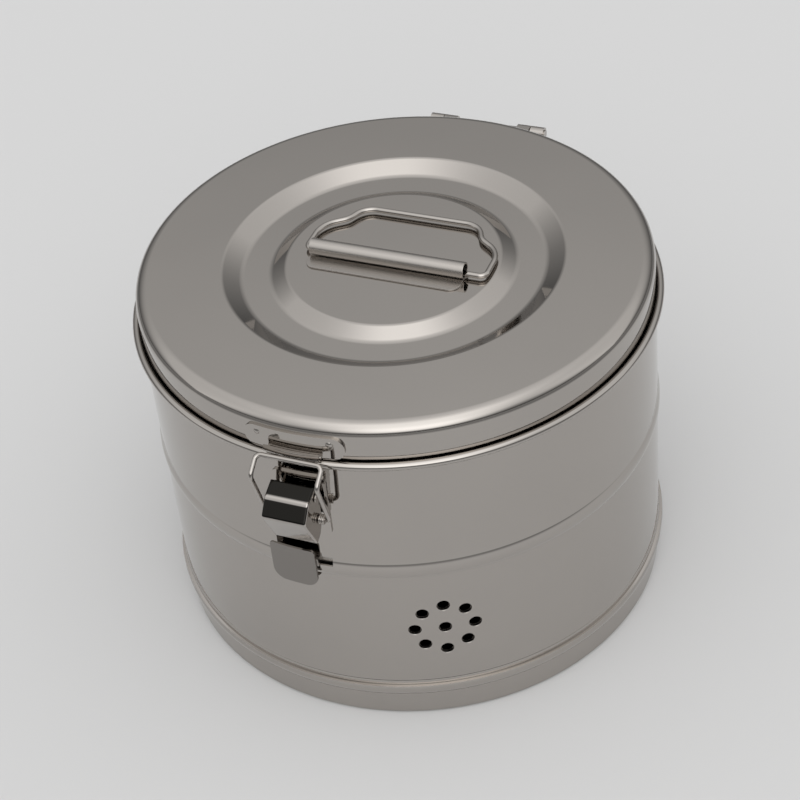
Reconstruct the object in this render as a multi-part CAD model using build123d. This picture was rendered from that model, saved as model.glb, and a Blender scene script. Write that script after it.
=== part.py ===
from build123d import *
import os
from math import cos, radians, sin

# Sterilization drum: round sheet-metal drum with a hinged lid, a fold-down
# wire handle, an over-centre latch and a turning ring that closes the vents.
# Millimetres, +Z up, axis of the drum on Z, foot on z = 0.
# The latch is on the -Y side and the hinge on the +Y side.

# ---- sheet and drum ----
sheet = 0.8                 # lid, wall, foot, pan and neck sheet
wall_r = 120.0              # outside of the straight wall
wall_in = wall_r - sheet
wall_z0 = 13.6              # bottom edge of the wall
bead_out = 2.0              # how far the bottom bead stands out
bead_crest = 4.44           # height of its crest above the wall's edge
bead_ledge = (1.65, 6.45)   # outer corner of its ledge: outwards, up
ledge_rise = 0.25           # the ledge climbs this much to the wall
small_bead_z0 = wall_z0 + bead_ledge[1] + ledge_rise
small_bead_h = 3.0
small_bead_out = 0.45
mid_bead_z0 = 90.3
mid_bead_h = 9.2            # wide and low
mid_bead_out = 1.0
wall_top = 160.6            # top of the rolled edge
curl_r = 1.9                # rolled edge, outside
curl_z = wall_top - curl_r
curl_turn = 296.0           # degrees of the rolled edge
step_drop = 9.6             # fine step below the rolled edge
step_z = wall_top - step_drop
step_h = 0.8
step_out = 0.35

# ---- foot and bottom ----
foot_in = 0.4               # the foot band lies this far inside the wall
foot_r = wall_r - foot_in
foot_flange = 6.0           # turned-in flange that the drum stands on
foot_lap = 20.0             # how far the band reaches up inside the wall
foot_top = wall_z0 + foot_lap
joggle_h = 2.2
pan_drop = 0.4
pan_z = wall_z0 - pan_drop  # underside of the bottom pan
pan_h = 12.8
pan_top = pan_z + pan_h

# ---- neck under the lid ----
neck_in = 2.5
neck_r = wall_r - neck_in
neck_lap = 5.0
neck_z0 = step_z - neck_lap
neck_joggle = 4.5
neck_stand = 9.4            # how far it stands above the rolled edge
neck_top = wall_top + neck_stand

# ---- lid ----
lid_in = 0.36
lid_r = wall_r - lid_in
lid_skin_in = lid_r - sheet
lid_gap = 0.4
lid_z0 = wall_top + lid_gap  # bottom edge of the skirt
lid_h = 17.6
lid_top = lid_z0 + lid_h
disc_drop = 1.0
disc_z = lid_top - disc_drop  # flat centre disc
disc_r = 49.8
groove_drop = 5.2
groove_z = lid_top - groove_drop
groove_slope_in = 7.2
groove_floor = 13.5
groove_slope_out = 8.5
lid_bends = (3.0, 5.0, 5.0, 3.0)
shoulder_r = 5.9

# ---- vents ----
vent_d = 6.0
vent_pcr = 13.9             # radius of the ring of eight holes
vent_z = 56.6
vent_az = (27.5, 147.5, 267.5)
ring_vent_d = vent_d - 0.6

# ---- shutter ring ----
ring_gap = 0.3
ring_r = wall_in - ring_gap
ring_sheet = 0.6
ring_rest = 0.4             # above the foot band's edge
ring_z0 = foot_top + ring_rest
ring_h = 80.0
shut_travel = 5.8           # along the wall, from open to shut
slot_z = mid_bead_z0 + 8.2
slot_h = 4.6
slot_a0 = -1.9              # left end of the slot along the wall
grip_neck_w = 6.0           # neck that joins the grip to the ring
neck_gap = 0.3
slot_a1 = slot_a0 + grip_neck_w + 2 * neck_gap + shut_travel
grip_gap = 1.4              # between the middle bead and the grip
grip_in = wall_r + mid_bead_out + grip_gap
grip_t = 1.0
grip_w = 22.1
grip_h = 22.0
grip_inset = 0.7
grip_arc = slot_a0 + neck_gap + grip_neck_w - grip_inset - grip_w / 2
grip_z = mid_bead_z0 + 4.7

# ---- hinge ----
hinge_out = 9.5             # hinge axis outside the wall
hinge_y = wall_r + hinge_out
hinge_rise = 4.5
hinge_z = lid_z0 + hinge_rise
knuckle_r = 3.5
leaf_t = 1.2
hinge_pin_gap = 0.08
hinge_pin_r = knuckle_r - leaf_t - hinge_pin_gap
knuckle_w = 6.8
knuckle_gap = 0.4
lid_knuckle = (16.0, 16.0 + knuckle_w)
body_knuckle = (lid_knuckle[1] + knuckle_gap, lid_knuckle[1] + knuckle_gap + knuckle_w)
leaf_half = body_knuckle[1]
lid_leaf_z = (lid_z0 + 2.4, lid_z0 + 11.4)
body_leaf_z = (step_z - 23.0, step_z - 1.4)

# ---- handle ----
bracket_half = 37.6
bracket_flange = 11.5
sleeve_y = -6.2
bracket_front = sleeve_y - bracket_flange
sleeve_r = 3.9              # outside of the rolled sleeve
sleeve_turn = 315.0
handle_d = 2.6
handle_lift = 0.1           # wire above the floor of its sleeve
handle_z = disc_z + sheet + handle_lift + handle_d / 2
handle_shift = 3.2          # the bail lies slid to one side
handle_stub = 26.0
handle_line = ((43.9, 0), (43.9, 18.7), (33.06, 26.28), (28.39, 36.25))
handle_bends = (3.3, 14.0, 9.0, 9.6)

# ---- keeper and hook on the lid ----
keeper_half = 23.3
keeper_t = 1.2
keeper_z = (lid_z0 + 0.1, lid_z0 + 11.9)
hook_half = 13.0
hook_trough = 2.06
hook_lip_r = lid_r + 2 * keeper_t + hook_trough
hook_lip_top = lid_z0 + 4.2

# ---- latch ----
base_t = 1.0
base_half = 12.5
base_h = 37.0
base_z = (step_z - 1.0 - base_h, step_z - 1.0)
pivot_out = 6.5
pivot_r = wall_r + pivot_out
pivot_z = step_z - 7.2
pivot_pin_r = 1.2
lever_t = 1.2
lever_half = 10.3
lever_round = 1.0
ear_t = 1.2
ear_gap = 0.3
ear_in = lever_half - lever_t - ear_gap - ear_t
ear_r = 2.3
# outlines in the plane across the latch, from the lever's pivot: outwards, up
lever_line = ((-0.4, 5.2), (7.1, 2.2), (13.0, -5.2), (4.1, -23.6))
cheek_line = ((0.1, -21.2), (-3.5, -14.8), (-3.3, -10.8), (-2.1, -5.8), (-3.3, -1.2), (-4.1, 1.6))
lever_bend = 2.2
bail_r = pivot_r - 0.5      # pivot of the bail on the lever
bail_z = pivot_z - 12.8
bail_d = 2.2
bail_half = lever_half + 5.0
bail_gap = 0.3              # crossbar to the lip of the hook
bail_bar = (hook_lip_r + bail_gap + bail_d / 2, lid_z0 + 1.0)
bail_knee = (pivot_r + 7.2, pivot_z + 12.5)
bail_bends = (2.6, 3.4, 2.0)
bush_r = 2.3

fit = 0.05                  # running fit of pins, on the radius
rivet_slack = 0.02

# rivets: (place along the wall from the latch, height)
body_rivet_r = 1.5
body_rivet_at = (-25.0, -9.0, 9.0, 25.0)
body_rivet_z = body_leaf_z[0] + 8.0
lid_rivet_r = 1.3
lid_rivet_at = (-26.8, -9.0, 9.0, 26.8)
lid_rivet_z = lid_z0 + 7.0
keeper_rivet_r = 0.9
keeper_rivets_at = ((-16.6, lid_z0 + 8.5), (16.6, lid_z0 + 8.5))
base_rivet_r = 1.3
base_rivets = ((-5.0, base_z[0] + 12.0), (5.0, base_z[0] + 12.0), (0.0, base_z[0] + 23.5))


# ---------------------------------------------------------------- helpers
def radial(arc, z):
    """Frame on the drum's axis: x along the wall, y up, z outwards."""
    a = arc / wall_r
    return Plane(origin=(0, 0, z), x_dir=(cos(a), sin(a), 0), z_dir=(sin(a), -cos(a), 0))


def arc_of(az):
    """Arc length at the wall for an azimuth in degrees from the latch."""
    return radians(az) * wall_r


def skin(edges, side, thick=sheet):
    """Flat section of a sheet: one thickness along a profile."""
    return Face(Wire(edges).offset_2d(thick, side=side))


def rolled(c, r, turn_from, turn, thick):
    """Flat section of a rolled edge: r is its outside, the turn is signed."""
    ends = []
    for k in (0, 0.5, 1):
        a = radians(turn_from + turn * k)
        ends.append([(c[0] + q * cos(a), c[1] + q * sin(a)) for q in (r, r - thick)])
    outer = ThreePointArc(ends[0][0], ends[1][0], ends[2][0])
    inner = ThreePointArc(ends[0][1], ends[1][1], ends[2][1])
    return make_face([outer, Line(ends[2][0], ends[2][1]), inner, Line(ends[0][0], ends[0][1])])


def turned(section):
    """Solid of a section drawn as (r, z), turned about Z."""
    return revolve(Plane.XZ * section, axis=Axis.Z)


def band(r_in, r_out, z0, z1):
    return core(r_out, z0, z1) - core(r_in, z0, z1)


def hole(arc, z, r):
    """Round cutter through the wall."""
    return radial(arc, z) * (Pos(0, 0, wall_r) * Cylinder(r, 20))


def core(r, z0, z1):
    """Round cutter on the drum's axis."""
    return Pos(0, 0, (z0 + z1) / 2) * Cylinder(r, z1 - z0)


def curved_plate(arc, z, w, h, corner, r_in, r_out):
    """Plate of the outline w x h bent round the drum."""
    outline = RectangleRounded(w, h, corner)
    block = radial(arc, z) * (Pos(0, 0, r_in - 6) * extrude(outline, r_out - r_in + 12))
    return block & band(r_in, r_out, z - h, z + h)


def rivet(arc, z, r_in, r_out, shank, head_r, head_h, tail_r, tail_h):
    """Dome-headed rivet through the sheets between r_in and r_out."""
    low = r_in - 0.03
    bottom = (Align.CENTER, Align.CENTER, Align.MIN)
    tail = Pos(0, 0, low - tail_h) * Cylinder(tail_r, tail_h, align=bottom)
    stem = Pos(0, 0, low) * Cylinder(shank, r_out - low, align=bottom)
    ball = (head_r**2 + head_h**2) / (2 * head_h)
    dome = Pos(0, 0, r_out + head_h - ball) * Sphere(ball)
    head = dome & Pos(0, 0, r_out) * Cylinder(head_r + 1, head_h + 1, align=bottom)
    body = tail + stem + head
    return radial(arc, z) * body


def group(solids):
    return Compound(children=list(solids))


def bar_x(x0, x1, y, z, r):
    """Round bar along X."""
    mid = (x0 + x1) / 2
    return Pos(mid, y, z) * (Rot(0, 90, 0) * Cylinder(r, x1 - x0))


def along_x(face_yz, x0, x1):
    """Solid from a face drawn as (y, z), between two values of X."""
    return Pos(x0, 0, 0) * extrude(Plane.YZ * face_yz, x1 - x0, dir=(1, 0, 0))


def bow(z0, height, out, r=wall_r):
    """Bead: an arc that stands out of the wall."""
    return ThreePointArc((r, z0), (r + out, z0 + height / 2), (r, z0 + height))


def vents(r):
    """Round holes: one in the middle and eight about it, at each azimuth."""
    cut = []
    for az in vent_az:
        cut.append(hole(arc_of(az), vent_z, r))
        for k in range(8):
            a = radians(45 * k)
            cut.append(hole(arc_of(az) + vent_pcr * cos(a), vent_z + vent_pcr * sin(a), r))
    return cut


# ---------------------------------------------------------------- drum body
def drum_wall():
    top_r = wall_r + step_out
    curl_c = top_r + curl_r - sheet
    crest = (wall_r + bead_out, wall_z0 + bead_crest)
    corner = (wall_r + bead_ledge[0], wall_z0 + bead_ledge[1])
    edges = [
        ThreePointArc((wall_r, wall_z0), crest, corner),
        Line(corner, (wall_r, small_bead_z0)),
        bow(small_bead_z0, small_bead_h, small_bead_out),
        Line((wall_r, small_bead_z0 + small_bead_h), (wall_r, mid_bead_z0)),
        bow(mid_bead_z0, mid_bead_h, mid_bead_out),
        Line((wall_r, mid_bead_z0 + mid_bead_h), (wall_r, step_z)),
        Line((wall_r, step_z), (top_r, step_z + step_h)),
        Line((top_r, step_z + step_h), (top_r, curl_z)),
    ]
    edge_roll = rolled((curl_c, curl_z), curl_r, 180.0, -curl_turn, sheet)
    shell = turned(skin(edges, Side.LEFT) + edge_roll)
    slot_mid = (slot_a0 + slot_a1) / 2
    slot = radial(slot_mid, slot_z) * (Pos(0, 0, wall_r) * Box(slot_a1 - slot_a0, slot_h, 12))
    cuts = vents(vent_d / 2) + [slot]
    cuts += [hole(a, z, body_rivet_r + rivet_slack) for a, z in body_rivets]
    cuts += [hole(a, z, base_rivet_r + rivet_slack) for a, z in base_rivets]
    return shell - cuts


def base_ring():
    joggle_z = wall_z0 - 0.6
    line = FilletPolyline((foot_r - foot_flange, 0), (foot_r, 0), (foot_r, joggle_z),
                          (wall_in, joggle_z + joggle_h), (wall_in, foot_top), radius=[1.4, 1.2, 1.2])
    return turned(skin(line.edges(), Side.LEFT))


def bottom_pan():
    r = wall_in - sheet
    line = FilletPolyline((0, pan_z), (r, pan_z), (r, pan_top), radius=3.0)
    return turned(skin(line.edges(), Side.LEFT))


def neck_collar():
    line = FilletPolyline((wall_in, neck_z0), (wall_in, step_z), (neck_r, step_z + neck_joggle),
                          (neck_r, neck_top), radius=[2.0, 2.0])
    return turned(skin(line.edges(), Side.LEFT))


# ---------------------------------------------------------------- lid
def lid_shell():
    floor_in = disc_r + groove_slope_in
    floor_out = floor_in + groove_floor
    line = FilletPolyline((0, disc_z), (disc_r, disc_z), (floor_in, groove_z), (floor_out, groove_z),
                          (floor_out + groove_slope_out, lid_top), (lid_r, lid_top), (lid_r, lid_z0),
                          radius=[*lid_bends, shoulder_r])
    shell = turned(skin(line.edges(), Side.RIGHT))
    cuts = [hole(a, z, keeper_rivet_r + rivet_slack) for a, z in keeper_rivets_at]
    cuts += [hole(a, z, lid_rivet_r + rivet_slack) for a, z in lid_rivets]
    return shell - cuts


# ---------------------------------------------------------------- hinge
body_rivets = [(arc_of(180) + x, body_rivet_z) for x in body_rivet_at]
lid_rivets = [(arc_of(180) + x, lid_rivet_z) for x in lid_rivet_at]


def curl_section(start, turn, line):
    """Leaf sheet: a straight run and then a curl round the hinge axis.

    start is the angle where the run meets the curl; the turn is signed."""
    p0 = (hinge_y + knuckle_r * cos(radians(start)), hinge_z + knuckle_r * sin(radians(start)))
    side = Side.RIGHT if turn < 0 else Side.LEFT
    run = skin(Polyline(*line, p0).edges(), side, leaf_t)
    return run + rolled((hinge_y, hinge_z), knuckle_r, start, turn, leaf_t)


def both_sides(face, span):
    return [along_x(face, span[0], span[1]), along_x(face, -span[1], -span[0])]


def hinge_leaf_lid():
    mid = sum(lid_leaf_z) / 2
    h = lid_leaf_z[1] - lid_leaf_z[0]
    plate = curved_plate(arc_of(180), mid, 2 * leaf_half, h, 2.5, lid_r, lid_r + leaf_t)
    face = curl_section(90.0, -290.0, [(lid_r - 7, hinge_z + knuckle_r)])
    straps = both_sides(face, lid_knuckle)
    leaf = (plate + straps) - core(lid_r, lid_z0 - 20, lid_top)
    return leaf - [hole(a, z, lid_rivet_r + rivet_slack) for a, z in lid_rivets]


def hinge_leaf_body():
    mid = sum(body_leaf_z) / 2
    h = body_leaf_z[1] - body_leaf_z[0]
    plate = curved_plate(arc_of(180), mid, 2 * leaf_half, h, 3.0, wall_r, wall_r + leaf_t)
    front = hinge_y - knuckle_r
    face = curl_section(180.0, -285.0, [(wall_r - 3.6, step_z - 6.0), (front, step_z + 3.6)])
    straps = both_sides(face, body_knuckle)
    leaf = (plate + straps) - core(wall_r, body_leaf_z[0] - 10, wall_top)
    return leaf - [hole(a, z, body_rivet_r + rivet_slack) for a, z in body_rivets]


def hinge_rivets_body():
    out = wall_r + leaf_t
    return group(rivet(a, z, wall_in, out, body_rivet_r, 2.8, 1.3, 2.4, 0.8) for a, z in body_rivets)


def hinge_rivets_lid():
    out = lid_r + leaf_t
    return group(rivet(a, z, lid_skin_in, out, lid_rivet_r, 2.3, 1.1, 2.0, 0.5) for a, z in lid_rivets)


def hinge_pin():
    return bar_x(-body_knuckle[1] - 0.6, body_knuckle[1] + 0.6, hinge_y, hinge_z, hinge_pin_r)


# ---------------------------------------------------------------- handle
def handle_bracket():
    flange = skin([Line((bracket_front, disc_z), (sleeve_y, disc_z))], Side.LEFT)
    sleeve = rolled((sleeve_y, disc_z + sleeve_r), sleeve_r, -90.0, sleeve_turn, sheet)
    strip = along_x(flange + sleeve, -bracket_half, bracket_half)
    depth = 40.0
    outline = Pos(0, bracket_front + depth / 2, disc_z - 1) * RectangleRounded(2 * bracket_half, depth, 5)
    return strip & extrude(outline, 12)


def handle_wire():
    """Half of the bail, from the middle of its front bar to the end in the sleeve."""
    right = [(x, y) for x, y in handle_line[::-1]]
    line = FilletPolyline((0, right[0][1]), *right, (handle_stub, 0), radius=list(handle_bends[::-1]))
    start = Plane(origin=(0, right[0][1], 0), z_dir=(1, 0, 0))
    half = sweep(start * Circle(handle_d / 2), line)
    return Pos(handle_shift, sleeve_y, handle_z) * (half + mirror(half, Plane.YZ))


# ---------------------------------------------------------------- keeper
def keeper_plate():
    mid = sum(keeper_z) / 2
    h = keeper_z[1] - keeper_z[0]
    out = lid_r + keeper_t
    plate = curved_plate(0, mid, 2 * keeper_half, h, h / 2 - 0.1, lid_r, out)
    plate -= [hole(a, z, keeper_rivet_r + rivet_slack) for a, z in keeper_rivets_at]
    big = (hook_lip_r - lid_r) / 2
    cr = lid_r + big
    cz = keeper_z[0] + big
    root = Pos(lid_r + keeper_t / 2, cz + 1.0) * Rectangle(keeper_t, 2.0)
    lip_h = hook_lip_top - cz
    lip = Pos(hook_lip_r - keeper_t / 2, cz + lip_h / 2) * Rectangle(keeper_t, lip_h)
    hook = turned(root + rolled((cr, cz), big, 180.0, 180.0, keeper_t) + lip)
    return plate + (hook & Pos(0, -lid_r, lid_z0) * Box(2 * hook_half, 30, 30))


def keeper_rivets():
    out = lid_r + keeper_t
    return group(rivet(a, z, lid_skin_in, out, keeper_rivet_r, 1.5, 0.5, 1.5, 0.4)
                 for a, z in keeper_rivets_at)


# ---------------------------------------------------------------- latch
def latch_base():
    mid = sum(base_z) / 2
    h = base_z[1] - base_z[0]
    outline = chamfer(Rectangle(2 * base_half, h).vertices().group_by(Axis.Y)[0], 5.0)
    outline = fillet(outline.vertices().group_by(Axis.Y)[-1], 3.0)
    block = radial(0, mid) * (Pos(0, 0, wall_r - 5) * extrude(outline, 12))
    plate = block & band(wall_r, wall_r + base_t, base_z[0] - 1, base_z[1] + 1)
    foot = -(wall_r - 0.9)
    profile = make_hull([Pos(-pivot_r, pivot_z) * Circle(ear_r).edge(),
                         Line((foot, pivot_z - 8.5), (foot, pivot_z - 15.0))])
    ears = [along_x(profile, ear_in, ear_in + ear_t), along_x(profile, -ear_in - ear_t, -ear_in)]
    base = (plate + ears) - core(wall_r, base_z[0] - 10, step_z)
    base -= bar_x(-20, 20, -pivot_r, pivot_z, pivot_pin_r + rivet_slack)
    return base - [hole(a, z, base_rivet_r + rivet_slack) for a, z in base_rivets]


def latch_base_rivets():
    out = wall_r + base_t
    return group(rivet(a, z, wall_in, out, base_rivet_r, 2.3, 0.9, 2.1, 0.7) for a, z in base_rivets)


def latch_pivot_pin():
    side = lever_half + 0.2
    pin = bar_x(-side, side, -pivot_r, pivot_z, pivot_pin_r)
    heads = [bar_x(side, side + 0.8, -pivot_r, pivot_z, 2.1), bar_x(-side - 0.8, -side, -pivot_r, pivot_z, 2.1)]
    heads = [fillet(h.edges().filter_by(GeomType.CIRCLE), 0.35) for h in heads]
    return pin + heads


def latch_lever():
    outer = [(-pivot_r - r, pivot_z + z) for r, z in lever_line]
    line = FilletPolyline(*outer, radius=lever_bend)
    roof = along_x(skin(line.edges(), Side.LEFT, lever_t), -lever_half, lever_half)
    inner = [(-pivot_r - r, pivot_z + z) for r, z in cheek_line]
    cheek = Face(Wire(line.edges() + Polyline(outer[-1], *inner, outer[0]).edges()))
    sides = [along_x(cheek, lever_half - lever_t, lever_half),
             along_x(cheek, -lever_half, -lever_half + lever_t)]
    lever = roof + sides
    folds = [e for e in lever.edges() if abs(abs((e @ 0.5).X) - lever_half) < 1e-3
             and line.distance_to(Vector((e @ 0.5).Y, (e @ 0.5).Z, 0)) < 0.01]
    lever = fillet(folds, lever_round)
    lever -= bar_x(-20, 20, -pivot_r, pivot_z, pivot_pin_r + fit)
    lever -= bar_x(-20, 20, -bail_r, bail_z, bail_d / 2 + fit)
    return lever


def bail_path():
    bar_y, bar_z = -bail_bar[0], bail_bar[1]
    knee_y, knee_z = -bail_knee[0], bail_knee[1]
    x = bail_half
    mid = (0, bar_y, bar_z)
    corner = (x, bar_y, bar_z)
    knee = (x, knee_y, knee_z)
    foot = (x, -bail_r, bail_z)
    stub = (lever_half - lever_t - 0.2, -bail_r, bail_z)
    half = FilletPolyline(mid, corner, knee, foot, stub, radius=list(bail_bends))
    return half


def latch_bail():
    half = bail_path()
    start = Plane(origin=(0, -bail_bar[0], bail_bar[1]), z_dir=(1, 0, 0))
    one = sweep(start * Circle(bail_d / 2), half)
    return one + mirror(one, Plane.YZ)


def bail_bushes():
    x0 = lever_half + 0.3
    x1 = bail_half - 2.1
    n = 3
    pitch = (x1 - x0) / n
    pts = [(x0, bail_d / 2 + fit), (x0, bush_r - 0.5)]
    edges = [Line(pts[0], pts[1])]
    for k in range(n):
        a = x0 + k * pitch
        edges.append(ThreePointArc((a, bush_r - 0.5), (a + pitch / 2, bush_r), (a + pitch, bush_r - 0.5)))
    edges.append(Line((x1, bush_r - 0.5), (x1, bail_d / 2 + fit)))
    edges.append(Line((x1, bail_d / 2 + fit), pts[0]))
    bush = Pos(0, -bail_r, bail_z) * revolve(make_face(edges), axis=Axis.X)
    return group([bush, mirror(bush, Plane.YZ)])


# ---------------------------------------------------------------- shutter
def shutter_ring():
    return band(ring_r - ring_sheet, ring_r, ring_z0, ring_z0 + ring_h) - vents(ring_vent_d / 2)


def grip_neck():
    h = slot_h - 2 * neck_gap
    mid = slot_a0 + neck_gap + grip_neck_w / 2
    block = radial(mid, slot_z) * (Pos(0, 0, wall_r) * Box(grip_neck_w, h, 12))
    return block & band(ring_r, grip_in, slot_z - 5, slot_z + 5)


def shutter_grip():
    outline = fillet(Rectangle(grip_w, grip_h).vertices().group_by(Axis.Y)[0], 6.0)
    outline = fillet(outline.vertices().group_by(Axis.Y)[-1], 2.0)
    block = radial(grip_arc, grip_z) * (Pos(0, 0, grip_in - 4) * extrude(outline, 10))
    return block & band(grip_in, grip_in + grip_t, grip_z - grip_h, grip_z + grip_h)


nodes = [drum_wall, base_ring, bottom_pan, neck_collar, lid_shell, hinge_leaf_lid, hinge_leaf_body,
         hinge_rivets_body, hinge_rivets_lid, hinge_pin, handle_bracket, handle_wire, keeper_plate,
         keeper_rivets, latch_base, latch_base_rivets, latch_pivot_pin, latch_lever, latch_bail,
         bail_bushes, shutter_ring, grip_neck, shutter_grip]

os.makedirs("parts", exist_ok=True)
for make in nodes:
    shape = make()
    export_step(shape, "parts/" + make.__name__ + ".step")
    box = shape.bounding_box()
    print(make.__name__, len(shape.solids()), round(shape.volume, 2),
          [round(v, 2) for v in (*box.min, *box.max)])
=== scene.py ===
from math import pi, radians, tan

import bmesh
import bpy
from bpy.props import FloatProperty, FloatVectorProperty, IntProperty, PointerProperty
from mathutils import Matrix, Vector


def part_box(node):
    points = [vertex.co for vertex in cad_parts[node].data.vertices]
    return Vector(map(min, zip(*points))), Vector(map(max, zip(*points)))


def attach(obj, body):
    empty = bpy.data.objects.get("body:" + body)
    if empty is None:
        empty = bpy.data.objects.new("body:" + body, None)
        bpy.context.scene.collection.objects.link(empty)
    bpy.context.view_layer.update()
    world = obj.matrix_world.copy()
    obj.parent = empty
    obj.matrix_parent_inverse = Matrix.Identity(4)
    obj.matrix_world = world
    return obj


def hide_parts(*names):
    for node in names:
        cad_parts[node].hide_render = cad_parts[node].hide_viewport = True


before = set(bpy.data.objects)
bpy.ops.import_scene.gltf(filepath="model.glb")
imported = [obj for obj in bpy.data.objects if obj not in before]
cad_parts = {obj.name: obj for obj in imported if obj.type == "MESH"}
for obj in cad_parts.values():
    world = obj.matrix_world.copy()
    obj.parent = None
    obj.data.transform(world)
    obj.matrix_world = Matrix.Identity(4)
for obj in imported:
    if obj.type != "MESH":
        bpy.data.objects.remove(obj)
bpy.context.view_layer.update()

bl_info = {
    "name": "Sterilization Drum",
    "version": (1, 0, 0),
    "blender": (4, 5, 0),
    "location": "3D View > Sidebar > Drum",
    "description": "Sheet-metal drum with hinged lid, handle, latch and shutter, and its studio",
    "category": "Object",
}

UP = Vector((0, 0, 1))
ALONG_X = Vector((1, 0, 0))
SAME_POINT = 1e-7           # points nearer than this are one
EDGE = 0.28                 # rounding of a spun sheet's edges, as a share of its thickness
FINE_EDGE = 0.0002          # rounding of the edges of the latch and the grip
PAST = 0.01                 # how far a cutter reaches past the sheet
SPARE = 0.002               # how far a blank reaches past the outline cut from it

# bends of the spun sections
FOOT_BEND = 0.0014
JOGGLE_BEND = 0.0012
JOGGLE = (-0.0006, 0.0016)  # where the foot band bends inwards, from the wall's lower edge
PAN_BEND = 0.003
NECK_BEND = 0.002
NECK_SLOPE = 0.0045         # height over which the neck draws in
DISC_BEND = 0.003
GROOVE_BEND = 0.005
GROOVE_RIM_BEND = 0.003

# half of the handle's wire, from the sleeve's end: along the sleeve, away from it
HANDLE_HALF = [(0.026, 0), (0.0439, 0), (0.0439, 0.0187), (0.03306, 0.02628), (0.02839, 0.03625)]
HANDLE_BENDS = [0.0033, 0.014, 0.009, 0.0096]

# the lever's side, outwards and up from its pivot
LEVER_ROOF = [(-0.0004, 0.0052), (0.0071, 0.0022), (0.013, -0.0052), (0.0041, -0.0236)]
LEVER_BACK = [(0.0001, -0.0212), (-0.0035, -0.0148), (-0.0033, -0.0108), (-0.0021, -0.0058),
              (-0.0033, -0.0012), (-0.0041, 0.0016)]
BAIL_HOLE = (-0.0005, -0.0128)

# the latch bail: y and z of its turned-in end, its knee and its crossbar, and half the gap between its ends
BAIL_END = (-0.126, 0.131)
BAIL_KNEE = (-0.1337, 0.1563)
BAIL_BAR = (-0.1255, 0.162)
BAIL_GAP = 0.0089
BAIL_BENDS = (0.002, 0.0034, 0.0026, 0.0026, 0.0034, 0.002)


# ---------------------------------------------------------------- sizes and colours
def length(name, default, description):
    return FloatProperty(name=name, description=description, default=default, precision=5,
                         min=0.0, unit="LENGTH")


def place(name, default, description):
    return FloatProperty(name=name, description=description, default=default, precision=5,
                         unit="LENGTH")


def turn_angle(name, default, description):
    return FloatProperty(name=name, description=description, default=radians(default),
                         subtype="ANGLE", unit="ROTATION")


def share(name, default, description):
    return FloatProperty(name=name, description=description, default=default, min=0.0, max=1.0,
                         subtype="FACTOR")


def amount(name, default, description):
    return FloatProperty(name=name, description=description, default=default, min=0.0)


def colour(name, default, description):
    return FloatVectorProperty(name=name, description=description, default=default, size=3,
                               min=0.0, max=1.0, subtype="COLOR")


class DrumBodySizes(bpy.types.PropertyGroup):
    steps: IntProperty(name="Steps", description="Steps of a full turn", default=360, min=24)
    sheet: length("Sheet", 0.0008, "Thickness of the wall, foot, pan, neck and lid")
    wall_radius: length("Wall radius", 0.12, "Outside of the straight wall")
    wall_foot: place("Wall foot", 0.0136, "Height of the wall's lower edge")
    bead_stand: length("Bottom bead stand-out", 0.002, "How far the bottom bead stands out")
    bead_crest: length("Bottom bead crest", 0.00444, "Height of the bottom bead's crest over the wall's edge")
    ledge_out: length("Ledge", 0.00165, "How far the ledge over the bottom bead stands out")
    ledge_up: length("Ledge height", 0.00645, "Height of the ledge over the wall's edge")
    small_bead_foot: place("Small bead foot", 0.0203, "Height where the small bead starts")
    small_bead_height: length("Small bead", 0.003, "Height of the small bead")
    small_bead_stand: length("Small bead stand-out", 0.00045, "How far the small bead stands out")
    middle_bead_foot: place("Middle bead foot", 0.0903, "Height where the middle bead starts")
    middle_bead_height: length("Middle bead", 0.0092, "Height of the middle bead")
    middle_bead_stand: length("Middle bead stand-out", 0.001, "How far the middle bead stands out")
    step_at: place("Fine step", 0.151, "Height of the fine step under the rolled edge")
    step_rise: length("Step height", 0.0008, "Height of the fine step")
    step_out: length("Step stand-out", 0.00035, "How far the fine step stands out")
    roll_radius: length("Rolled edge", 0.0019, "Outside radius of the rolled edge")
    roll_turn: turn_angle("Roll turn", 296, "How far the edge is rolled")
    foot_flange: length("Foot flange", 0.006, "Width of the turned-in foot flange")
    foot_inset: length("Foot inset", 0.0004, "How far the foot band lies inside the wall")
    foot_top: place("Foot top", 0.0336, "Height of the foot band's upper edge")
    pan_height: place("Pan height", 0.0132, "Height of the pan's underside")
    pan_rim: place("Pan rim", 0.026, "Height of the pan's rim")
    neck_foot: place("Neck foot", 0.146, "Height of the neck's lower edge")
    neck_radius: length("Neck radius", 0.1175, "Outside of the neck inside the lid")
    neck_top: place("Neck top", 0.17, "Height of the neck's upper edge")


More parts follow.
